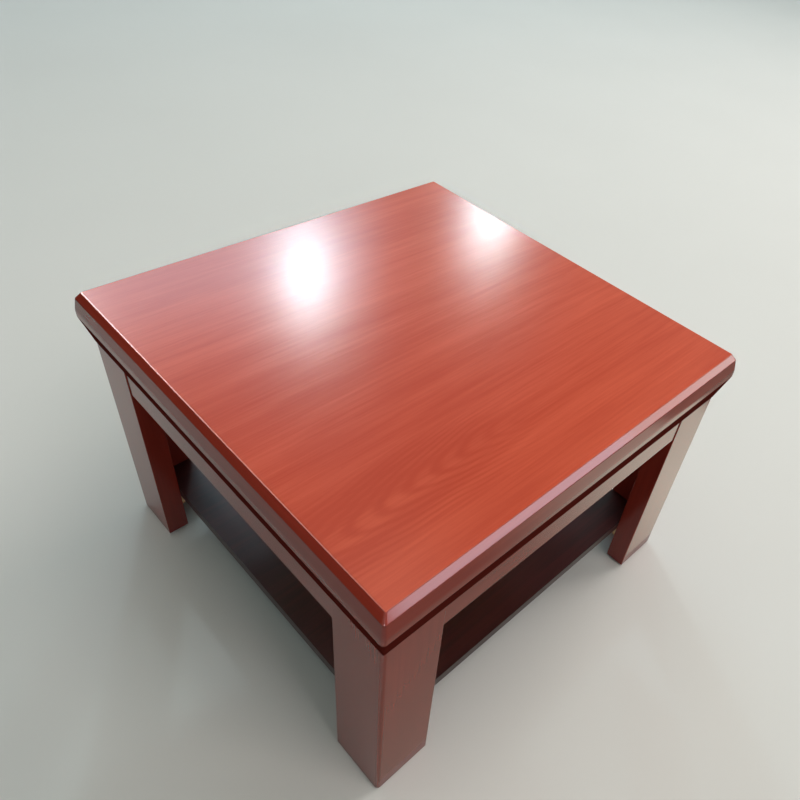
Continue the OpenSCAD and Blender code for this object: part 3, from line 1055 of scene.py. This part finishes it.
pads = made_by(
    glide_recipe(), "moulded_glides", aimed_points("pad_places", glide_places(0)),
    diameter=GLIDE_D, thickness=GLIDE_T, bevel=GLIDE_BEVEL, recess_diameter=NAIL_HEAD_D + 2 * FIT,
    recess_depth=NAIL_SUNK + NAIL_HEAD_T, hole_diameter=NAIL_D + 2 * FIT, seed=19,
    material=black_plastic(),
)
smooth_by_angle(pads, 30)
fit_in(pads, "black_plastic", "glides")
pins = made_by(
    nail_recipe(), "turned_glide_nails", aimed_points("pin_places", glide_places(NAIL_SUNK)),
    diameter=NAIL_D, length=NAIL_L, head_diameter=NAIL_HEAD_D, head_thickness=NAIL_HEAD_T,
    seed=23, material=zinc,
)
smooth_by_angle(pins, 40)
fit_in(pins, "zinc", "glide_nails")

# Floor, light and camera
# A plain pale floor and backdrop under soft studio light. Two small lamps far behind the table
# show on its top. Some lamps, two dark cloths and a glowing card on the floor at the front right,
# a painted reflection, show only in the gloss, and make the bright and dark bands of the moulding
# and the legs.

FLOOR_HALF = 14.0
FLOOR_Z = -0.0003
TABLE_MIDDLE = Vector((0, 0, 0.4))
CLOTH_DISTANCE = 2.6
GLEAM_LEFT = -0.45
GLEAM_RIGHT = 1.8
GLEAM_FRONT = -1.2
GLEAM_BACK = -0.345
GLEAM_Z = 0.0005
GLEAM_GROWS = (0.05, 0.55)
GLEAM_FADES = (0.74, 0.86)
WHITE_LAMP = 4.0


def pale_floor():
    finish = Finish("pale_floor")
    tone = finish.noise(finish.place(), (1.5, 1.5, 1.5), detail=2)
    return finish.done(
        base_color=finish.blend(tone, stain(0.83, 0.82, 0.80), stain(0.85, 0.84, 0.82)),
        roughness=0.9,
        specular_ior_level=0.0,
    )


def dark_cloth():
    finish = Finish("dark_cloth")
    weave = finish.noise(finish.place(), (900, 900, 900), detail=1)
    return finish.done(
        base_color=finish.blend(weave, stain(0.10, 0.10, 0.10), stain(0.14, 0.14, 0.14)),
        roughness=0.95,
        specular_ior_level=0.0,
    )


def floor_gleam():
    """A glowing card seen only in the gloss: a painted reflection of a floor, dim at the near leg and
    bright to the right.
    """
    finish = Finish("floor_gleam")
    x = finish.add("ShaderNodeSeparateXYZ", sockets={"Vector": finish.place()}).out("X")
    # Painted light: the glow rises to the right and stays dim near the near leg.
    bright = finish.within(x, *GLEAM_GROWS) - finish.within(x, *GLEAM_FADES)
    return finish.done(
        base_color=(0.0, 0.0, 0.0, 1.0),
        roughness=1.0,
        specular_ior_level=0.0,
        emission_color=finish.blend(bright, (0.37, 0.34, 0.29, 1.0), (1.25, 1.25, 1.05, 1.0)),
        emission_strength=1.0,
    )


def towards(azimuth, elevation):
    """The direction at that many degrees from +Y towards +X, and above the horizon."""
    a = math.radians(azimuth)
    e = math.radians(elevation)
    return Vector((math.sin(a) * math.cos(e), math.cos(a) * math.cos(e), math.sin(e)))


def lamp(name, azimuth, elevation, distance, wide, high, brightness, colour, is_round=False, only=""):
    """A lamp facing the table, its width and height in degrees, its brightness against white.

    With only="gloss" it shows in reflections alone, and with only="diffuse" in none. WHITE_LAMP
    is the power per square metre at which a lamp itself looks white.
    """
    light = bpy.data.lights.new(name, "AREA")
    light.shape = "ELLIPSE" if is_round else "RECTANGLE"
    light.size = 2 * distance * math.tan(math.radians(wide / 2))
    light.size_y = 2 * distance * math.tan(math.radians(high / 2))
    area = light.size * light.size_y * (math.pi / 4 if is_round else 1)
    light.energy = WHITE_LAMP * area * brightness
    light.color = stain(*colour)[:3]
    carrier = bpy.data.objects.new(name, light)
    bpy.context.scene.collection.objects.link(carrier)
    way = towards(azimuth, elevation)
    carrier.location = TABLE_MIDDLE + way * distance
    carrier.rotation_euler = way.to_track_quat("Z", "Y").to_euler()
    carrier.visible_camera = False
    carrier.visible_diffuse = only != "gloss"
    carrier.visible_glossy = only != "diffuse"


def panel(name, material, corners):
    mesh = bpy.data.meshes.new(name)
    mesh.from_pydata(corners, [], [tuple(range(len(corners)))])
    mesh.materials.append(material)
    piece = as_piece(name, mesh)
    return piece


def gloss_only(piece):
    """Leaves a panel out of everything but reflections."""
    piece.visible_camera = False
    piece.visible_diffuse = False
    piece.visible_shadow = False


panel(
    "floor", pale_floor(),
    [(x * FLOOR_HALF, y * FLOOR_HALF, FLOOR_Z) for x, y in ((-1, -1), (1, -1), (1, 1), (-1, 1))],
)
cloth_finish = dark_cloth()
for name, start, end, high in (("cloth_left", -80, -20, 1.02), ("cloth_right", 102, 172, 0.37)):
    ends = [towards(azimuth, 0) * CLOTH_DISTANCE for azimuth in (start, end)]
    gloss_only(
        panel(name, cloth_finish, [ends[0], ends[1], ends[1] + UP * high, ends[0] + UP * high])
    )
gloss_only(
    panel(
        "floor_gleam", floor_gleam(),
        [(GLEAM_LEFT, GLEAM_FRONT, GLEAM_Z), (GLEAM_RIGHT, GLEAM_FRONT, GLEAM_Z),
         (GLEAM_RIGHT, GLEAM_BACK, GLEAM_Z), (GLEAM_LEFT, GLEAM_BACK, GLEAM_Z)],
    )
)

lamp("lamp_left", 32.0, 32.6, 9.0, 2.8, 3.2, 104, (0.86, 0.97, 1.0), is_round=True)
lamp("lamp_right", 49.9, 26.0, 9.0, 3.2, 3.2, 69, (0.86, 0.98, 1.0), is_round=True)
lamp("haze", 23, 31, 9.0, 26, 8, 3.8, (0.78, 0.91, 1.0))
lamp("window", -11, 31, 9.0, 34, 14, 16, (1.0, 1.0, 1.0), only="gloss")
lamp("pale_wall", -42, 38, 9.0, 34, 26, 4.0, (1.0, 0.96, 0.93), only="gloss")
lamp("low_panel", 151, 7.5, 5.0, 26, 14, 5.0, (0.95, 0.94, 1.0), only="gloss")
lamp("far_panel", 129, 7.5, 5.0, 18, 14, 3.9, (1.0, 0.96, 0.95), only="gloss")
lamp("side_light", 100, 42, 6.0, 30, 22, 6.1, (1.0, 0.98, 0.97), only="diffuse")
lamp("overhead", 0, 88, 4.0, 50, 50, 0.7, (1.0, 0.98, 0.92))
lamp("front_light", 172, 48, 6.0, 30, 22, 3.4, (1.0, 0.96, 0.95))
lamp("lamp_behind", 227, 21, 7.0, 8, 12, 60, (1.0, 0.97, 1.0), only="gloss")

world = bpy.data.worlds.new("studio")
bpy.context.scene.world = world
world.use_nodes = True
sky = Bench(world.node_tree)
sky.tree.nodes.clear()
direction = sky.add("ShaderNodeTexCoord", output="Generated")
rise = sky.add("ShaderNodeSeparateXYZ", sockets={"Vector": direction}).out("Z")
dim = (0.04, 0.04, 0.04, 1)
even = (0.47, 0.55, 0.56, 1)
high = (0.10, 0.14, 0.14, 1)
pale = (0.62, 0.63, 0.60, 1)
light = sky.add(
    "ShaderNodeValToRGB",
    {"stops": [(0.10, dim), (0.22, even), (0.45, even), (0.62, high)]},
    {0: rise},
)
backdrop = sky.add("ShaderNodeValToRGB", {"stops": [(0.36, pale), (0.62, high)]}, {0: rise})
path = sky.add("ShaderNodeLightPath")
seen = path.out("Is Camera Ray")
for kind in ("Is Glossy Ray", "Is Transmission Ray"):
    seen = seen.math("MAXIMUM", path.out(kind))
shade = sky.add("ShaderNodeMix", {"data_type": "RGBA"}, {0: seen, 6: light, 7: backdrop}, output=2)
glow = sky.add("ShaderNodeBackground", sockets={"Color": shade, "Strength": 1.0})
sky.add("ShaderNodeOutputWorld", sockets={"Surface": glow})

CAMERA_PLACE = Vector((-0.5919, -0.6217, 1.0863))
CAMERA_AZIMUTH = 50.96
CAMERA_ELEVATION = -42.14
CAMERA_ROLL = 8.92
camera_data = bpy.data.cameras.new("camera")
camera_data.lens = 32.12
camera_data.sensor_width = 36
camera_data.shift_x = -0.1
camera_data.shift_y = 0.0125
camera = bpy.data.objects.new("camera", camera_data)
bpy.context.scene.collection.objects.link(camera)
camera.location = CAMERA_PLACE
level = towards(CAMERA_AZIMUTH, CAMERA_ELEVATION).to_track_quat("-Z", "Y").to_matrix()
camera.rotation_euler = (level @ Matrix.Rotation(math.radians(CAMERA_ROLL), 3, "Z")).to_euler()
bpy.context.scene.camera = camera
bpy.context.scene.view_settings.view_transform = "Standard"
